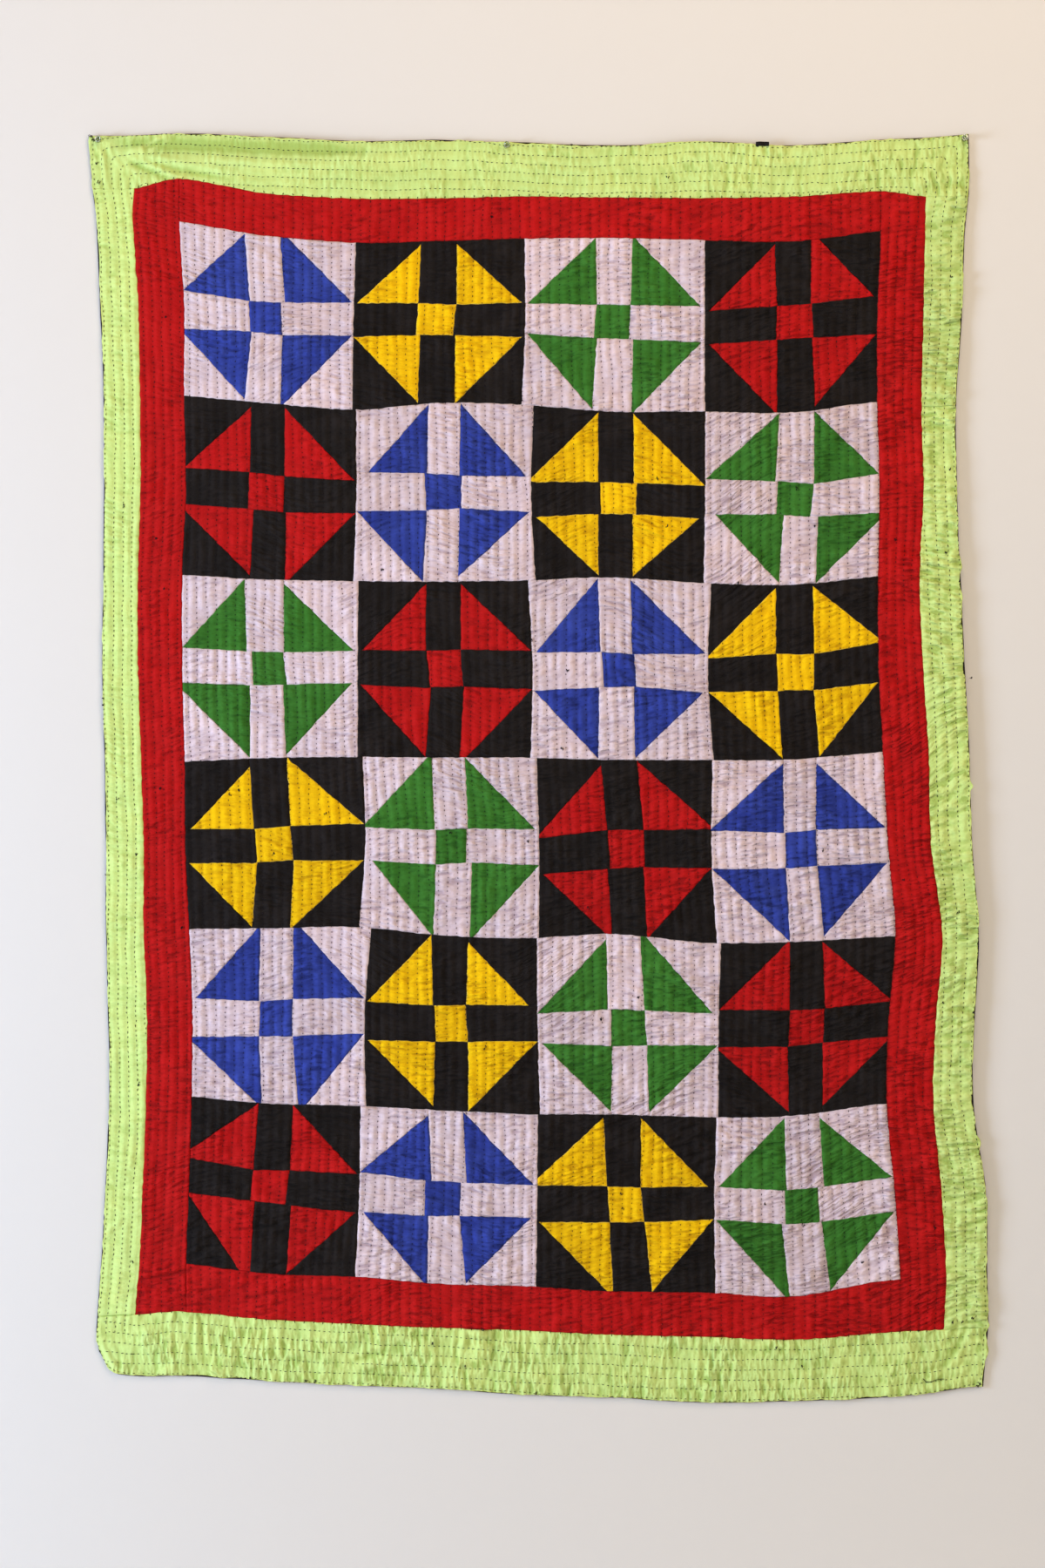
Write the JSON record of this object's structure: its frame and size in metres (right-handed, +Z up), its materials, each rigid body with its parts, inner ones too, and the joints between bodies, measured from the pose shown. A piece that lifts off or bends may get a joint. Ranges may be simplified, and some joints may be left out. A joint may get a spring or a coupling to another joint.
{
  "type": "ralli quilt with push pins",
  "caption": "Hand-pieced ralli quilt of bow-tie star blocks in red and lime borders, quilted in running stitch and hung flat from push pins.",
  "frame": {"origin": "where the middle push pin enters the wall, 0 to 20 mm below the quilt's top edge, on the wall's plane", "axes": "+Z up, +X to the right as the quilt is looked at, +Y into the wall; the quilt faces -Y"},
  "size_m": [1.446, 0.0253, 2.0358],
  "materials": {
    "lilac_cotton": "matt",
    "black_cotton": "matt",
    "red_cotton": "matt",
    "lime_cotton": "matt",
    "backing_cotton": "matt",
    "clear_plastic": "clear, polished",
    "steel": "bright"
  },
  "bodies": {
    "root": {"block_r1_c1": "lilac_cotton", "block_r1_c2": "black_cotton", "block_r1_c3": "lilac_cotton", "block_r1_c4": "black_cotton", "block_r2_c1": "black_cotton", "block_r2_c2": "lilac_cotton", "block_r2_c3": "black_cotton", "block_r2_c4": "lilac_cotton", "block_r3_c1": "lilac_cotton", "block_r3_c2": "black_cotton", "block_r3_c3": "lilac_cotton", "block_r3_c4": "black_cotton", "block_r4_c1": "black_cotton", "block_r4_c2": "lilac_cotton", "block_r4_c3": "black_cotton", "block_r4_c4": "lilac_cotton", "block_r5_c1": "lilac_cotton", "block_r5_c2": "black_cotton", "block_r5_c3": "lilac_cotton", "block_r5_c4": "black_cotton", "block_r6_c1": "black_cotton", "block_r6_c2": "lilac_cotton", "block_r6_c3": "black_cotton", "block_r6_c4": "lilac_cotton", "red_top": "red_cotton", "red_bottom": "red_cotton", "red_left": "red_cotton", "red_right": "red_cotton", "lime_top": "lime_cotton", "lime_left": "lime_cotton", "lime_right_upper": "lime_cotton", "lime_right_middle": "lime_cotton", "lime_right_lower": "lime_cotton", "lime_bottom_left": "lime_cotton", "lime_bottom_right": "lime_cotton", "backing": "backing_cotton", "pin_head_left": "clear_plastic", "pin_head_middle": "clear_plastic", "pin_head_right": "clear_plastic", "pin_needle_left": "steel", "pin_needle_middle": "steel", "pin_needle_right": "steel"}
  },
  "joints": []
}
